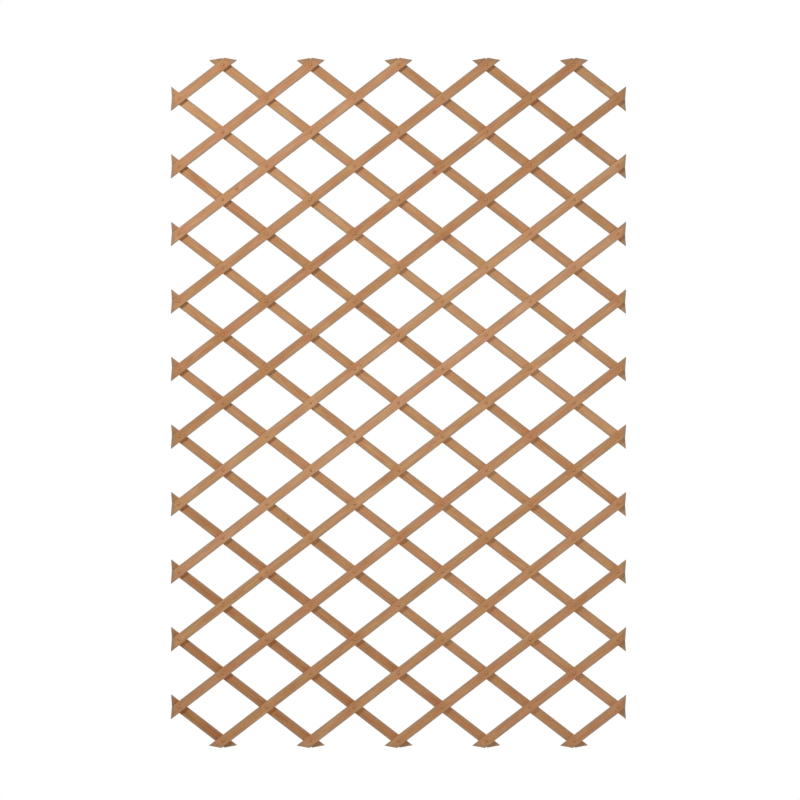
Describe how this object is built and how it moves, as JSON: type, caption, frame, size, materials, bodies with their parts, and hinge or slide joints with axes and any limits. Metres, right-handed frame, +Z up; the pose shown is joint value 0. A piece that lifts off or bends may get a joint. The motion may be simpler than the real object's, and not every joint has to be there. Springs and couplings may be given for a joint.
{
  "type": "expanding plant trellis panel",
  "caption": "Expanding wooden lattice panel for climbing plants: flat slats in two crossing layers, riveted at every crossing so the diamonds open and close.",
  "frame": {"origin": "on the centre rivet's axis, half way between the two layers of slats, which is the middle of the panel", "axes": "+X to the right and +Z up as the panel is seen from the front, +Y to the back, towards the wall"},
  "size_m": [1.1832, 0.0141, 1.7938],
  "materials": {
    "front_slats": "sawn softwood with a thin honey-brown stain",
    "rear_slats": "sawn softwood with a thin honey-brown stain",
    "rivets": "dull brown, tarnished"
  },
  "bodies": {
    "centre_rivet": {"centre_rivet": "rivets"},
    "front_slat_01": {"front_slat_01": "front_slats", "rivet_row_01": "rivets"},
    "front_slat_02": {"front_slat_02": "front_slats", "rivet_row_02": "rivets"},
    "front_slat_03": {"front_slat_03": "front_slats", "rivet_row_03": "rivets"},
    "front_slat_04": {"front_slat_04": "front_slats", "rivet_row_04": "rivets"},
    "front_slat_05": {"front_slat_05": "front_slats", "rivet_row_05": "rivets"},
    "front_slat_06": {"front_slat_06": "front_slats", "rivet_row_06": "rivets"},
    "front_slat_07": {"front_slat_07": "front_slats", "rivet_row_07": "rivets"},
    "front_slat_08": {"front_slat_08": "front_slats", "rivet_row_08": "rivets"},
    "front_slat_09": {"front_slat_09": "front_slats", "rivet_row_09": "rivets"},
    "front_slat_10": {"front_slat_10": "front_slats", "rivet_row_10": "rivets"},
    "front_slat_11": {"front_slat_11": "front_slats", "rivet_row_11": "rivets"},
    "front_slat_12": {"front_slat_12": "front_slats", "rivet_row_12": "rivets"},
    "front_slat_13": {"front_slat_13": "front_slats", "rivet_row_13": "rivets"},
    "front_slat_14": {"front_slat_14": "front_slats", "rivet_row_14": "rivets"},
    "front_slat_15": {"front_slat_15": "front_slats", "rivet_row_15": "rivets"},
    "rear_slat_01": {"rear_slat_01": "rear_slats"},
    "rear_slat_02": {"rear_slat_02": "rear_slats"},
    "rear_slat_03": {"rear_slat_03": "rear_slats"},
    "rear_slat_04": {"rear_slat_04": "rear_slats"},
    "rear_slat_05": {"rear_slat_05": "rear_slats"},
    "rear_slat_06": {"rear_slat_06": "rear_slats"},
    "rear_slat_07": {"rear_slat_07": "rear_slats"},
    "rear_slat_08": {"rear_slat_08": "rear_slats"},
    "rear_slat_09": {"rear_slat_09": "rear_slats"},
    "rear_slat_10": {"rear_slat_10": "rear_slats"},
    "rear_slat_11": {"rear_slat_11": "rear_slats"},
    "rear_slat_12": {"rear_slat_12": "rear_slats"},
    "rear_slat_13": {"rear_slat_13": "rear_slats"},
    "rear_slat_14": {"rear_slat_14": "rear_slats"},
    "rear_slat_15": {"rear_slat_15": "rear_slats"}
  },
  "joints": [
    {"name": "fold", "type": "hinge", "parent": "centre_rivet", "child": "front_slat_08", "pos_m": [0, 0, 0], "axis": [0, 1, 0], "range_deg": [-47.3, 32.5]},
    {"name": "rear_slat_08_pivot", "type": "hinge", "parent": "centre_rivet", "child": "rear_slat_08", "pos_m": [0, 0, 0], "axis": [0, 1, 0], "range_deg": [-32.5, 47.3]},
    {"name": "front_slat_07_pivot", "type": "hinge", "parent": "rear_slat_08", "child": "front_slat_07", "pos_m": [-0.11409, 0, 0.08786], "axis": [0, 1, 0], "range_deg": [-94.6, 65]},
    {"name": "front_slat_09_pivot", "type": "hinge", "parent": "rear_slat_08", "child": "front_slat_09", "pos_m": [0.11409, 0, -0.08786], "axis": [0, 1, 0], "range_deg": [-94.6, 65]},
    {"name": "rear_slat_07_pivot", "type": "hinge", "parent": "front_slat_08", "child": "rear_slat_07", "pos_m": [0.11409, 0, 0.08786], "axis": [0, 1, 0], "range_deg": [-65, 94.6]},
    {"name": "rear_slat_09_pivot", "type": "hinge", "parent": "front_slat_08", "child": "rear_slat_09", "pos_m": [-0.11409, 0, -0.08786], "axis": [0, 1, 0], "range_deg": [-65, 94.6]},
    {"name": "front_slat_06_pivot", "type": "hinge", "parent": "rear_slat_08", "child": "front_slat_06", "pos_m": [-0.22818, 0, 0.17572], "axis": [0, 1, 0], "range_deg": [-94.6, 65]},
    {"name": "front_slat_10_pivot", "type": "hinge", "parent": "rear_slat_08", "child": "front_slat_10", "pos_m": [0.22818, 0, -0.17572], "axis": [0, 1, 0], "range_deg": [-94.6, 65]},
    {"name": "rear_slat_06_pivot", "type": "hinge", "parent": "front_slat_08", "child": "rear_slat_06", "pos_m": [0.22818, 0, 0.17572], "axis": [0, 1, 0], "range_deg": [-65, 94.6]},
    {"name": "rear_slat_10_pivot", "type": "hinge", "parent": "front_slat_08", "child": "rear_slat_10", "pos_m": [-0.22818, 0, -0.17572], "axis": [0, 1, 0], "range_deg": [-65, 94.6]},
    {"name": "front_slat_05_pivot", "type": "hinge", "parent": "rear_slat_08", "child": "front_slat_05", "pos_m": [-0.34227, 0, 0.26358], "axis": [0, 1, 0], "range_deg": [-94.6, 65]},
    {"name": "front_slat_11_pivot", "type": "hinge", "parent": "rear_slat_08", "child": "front_slat_11", "pos_m": [0.34227, 0, -0.26358], "axis": [0, 1, 0], "range_deg": [-94.6, 65]},
    {"name": "rear_slat_05_pivot", "type": "hinge", "parent": "front_slat_08", "child": "rear_slat_05", "pos_m": [0.34227, 0, 0.26358], "axis": [0, 1, 0], "range_deg": [-65, 94.6]},
    {"name": "rear_slat_11_pivot", "type": "hinge", "parent": "front_slat_08", "child": "rear_slat_11", "pos_m": [-0.34227, 0, -0.26358], "axis": [0, 1, 0], "range_deg": [-65, 94.6]},
    {"name": "front_slat_04_pivot", "type": "hinge", "parent": "rear_slat_08", "child": "front_slat_04", "pos_m": [-0.45636, 0, 0.35144], "axis": [0, 1, 0], "range_deg": [-94.6, 65]},
    {"name": "front_slat_12_pivot", "type": "hinge", "parent": "rear_slat_08", "child": "front_slat_12", "pos_m": [0.45636, 0, -0.35144], "axis": [0, 1, 0], "range_deg": [-94.6, 65]},
    {"name": "rear_slat_04_pivot", "type": "hinge", "parent": "front_slat_08", "child": "rear_slat_04", "pos_m": [0.45636, 0, 0.35144], "axis": [0, 1, 0], "range_deg": [-65, 94.6]},
    {"name": "rear_slat_12_pivot", "type": "hinge", "parent": "front_slat_08", "child": "rear_slat_12", "pos_m": [-0.45636, 0, -0.35144], "axis": [0, 1, 0], "range_deg": [-65, 94.6]},
    {"name": "front_slat_03_pivot", "type": "hinge", "parent": "rear_slat_08", "child": "front_slat_03", "pos_m": [-0.57045, 0, 0.43931], "axis": [0, 1, 0], "range_deg": [-94.6, 65]},
    {"name": "front_slat_13_pivot", "type": "hinge", "parent": "rear_slat_08", "child": "front_slat_13", "pos_m": [0.57045, 0, -0.43931], "axis": [0, 1, 0], "range_deg": [-94.6, 65]},
    {"name": "rear_slat_03_pivot", "type": "hinge", "parent": "front_slat_08", "child": "rear_slat_03", "pos_m": [0.57045, 0, 0.43931], "axis": [0, 1, 0], "range_deg": [-65, 94.6]},
    {"name": "rear_slat_13_pivot", "type": "hinge", "parent": "front_slat_08", "child": "rear_slat_13", "pos_m": [-0.57045, 0, -0.43931], "axis": [0, 1, 0], "range_deg": [-65, 94.6]},
    {"name": "front_slat_02_pivot", "type": "hinge", "parent": "rear_slat_07", "child": "front_slat_02", "pos_m": [-0.57045, 0, 0.61503], "axis": [0, 1, 0], "range_deg": [-94.6, 65]},
    {"name": "front_slat_14_pivot", "type": "hinge", "parent": "rear_slat_09", "child": "front_slat_14", "pos_m": [0.57045, 0, -0.61503], "axis": [0, 1, 0], "range_deg": [-94.6, 65]},
    {"name": "rear_slat_02_pivot", "type": "hinge", "parent": "front_slat_07", "child": "rear_slat_02", "pos_m": [0.57045, 0, 0.61503], "axis": [0, 1, 0], "range_deg": [-65, 94.6]},
    {"name": "rear_slat_14_pivot", "type": "hinge", "parent": "front_slat_09", "child": "rear_slat_14", "pos_m": [-0.57045, 0, -0.61503], "axis": [0, 1, 0], "range_deg": [-65, 94.6]},
    {"name": "front_slat_01_pivot", "type": "hinge", "parent": "rear_slat_06", "child": "front_slat_01", "pos_m": [-0.57045, 0, 0.79075], "axis": [0, 1, 0], "range_deg": [-94.6, 65]},
    {"name": "front_slat_15_pivot", "type": "hinge", "parent": "rear_slat_10", "child": "front_slat_15", "pos_m": [0.57045, 0, -0.79075], "axis": [0, 1, 0], "range_deg": [-94.6, 65]},
    {"name": "rear_slat_01_pivot", "type": "hinge", "parent": "front_slat_06", "child": "rear_slat_01", "pos_m": [0.57045, 0, 0.79075], "axis": [0, 1, 0], "range_deg": [-65, 94.6]},
    {"name": "rear_slat_15_pivot", "type": "hinge", "parent": "front_slat_10", "child": "rear_slat_15", "pos_m": [-0.57045, 0, -0.79075], "axis": [0, 1, 0], "range_deg": [-65, 94.6]}
  ],
  "couplings": [
    {"joint": "rear_slat_08_pivot", "follows": "fold", "ratio": -1},
    {"joint": "front_slat_07_pivot", "follows": "fold", "ratio": 2},
    {"joint": "front_slat_09_pivot", "follows": "fold", "ratio": 2},
    {"joint": "rear_slat_07_pivot", "follows": "fold", "ratio": -2},
    {"joint": "rear_slat_09_pivot", "follows": "fold", "ratio": -2},
    {"joint": "front_slat_06_pivot", "follows": "fold", "ratio": 2},
    {"joint": "front_slat_10_pivot", "follows": "fold", "ratio": 2},
    {"joint": "rear_slat_06_pivot", "follows": "fold", "ratio": -2},
    {"joint": "rear_slat_10_pivot", "follows": "fold", "ratio": -2},
    {"joint": "front_slat_05_pivot", "follows": "fold", "ratio": 2},
    {"joint": "front_slat_11_pivot", "follows": "fold", "ratio": 2},
    {"joint": "rear_slat_05_pivot", "follows": "fold", "ratio": -2},
    {"joint": "rear_slat_11_pivot", "follows": "fold", "ratio": -2},
    {"joint": "front_slat_04_pivot", "follows": "fold", "ratio": 2},
    {"joint": "front_slat_12_pivot", "follows": "fold", "ratio": 2},
    {"joint": "rear_slat_04_pivot", "follows": "fold", "ratio": -2},
    {"joint": "rear_slat_12_pivot", "follows": "fold", "ratio": -2},
    {"joint": "front_slat_03_pivot", "follows": "fold", "ratio": 2},
    {"joint": "front_slat_13_pivot", "follows": "fold", "ratio": 2},
    {"joint": "rear_slat_03_pivot", "follows": "fold", "ratio": -2},
    {"joint": "rear_slat_13_pivot", "follows": "fold", "ratio": -2},
    {"joint": "front_slat_02_pivot", "follows": "fold", "ratio": 2},
    {"joint": "front_slat_14_pivot", "follows": "fold", "ratio": 2},
    {"joint": "rear_slat_02_pivot", "follows": "fold", "ratio": -2},
    {"joint": "rear_slat_14_pivot", "follows": "fold", "ratio": -2},
    {"joint": "front_slat_01_pivot", "follows": "fold", "ratio": 2},
    {"joint": "front_slat_15_pivot", "follows": "fold", "ratio": 2},
    {"joint": "rear_slat_01_pivot", "follows": "fold", "ratio": -2},
    {"joint": "rear_slat_15_pivot", "follows": "fold", "ratio": -2}
  ]
}
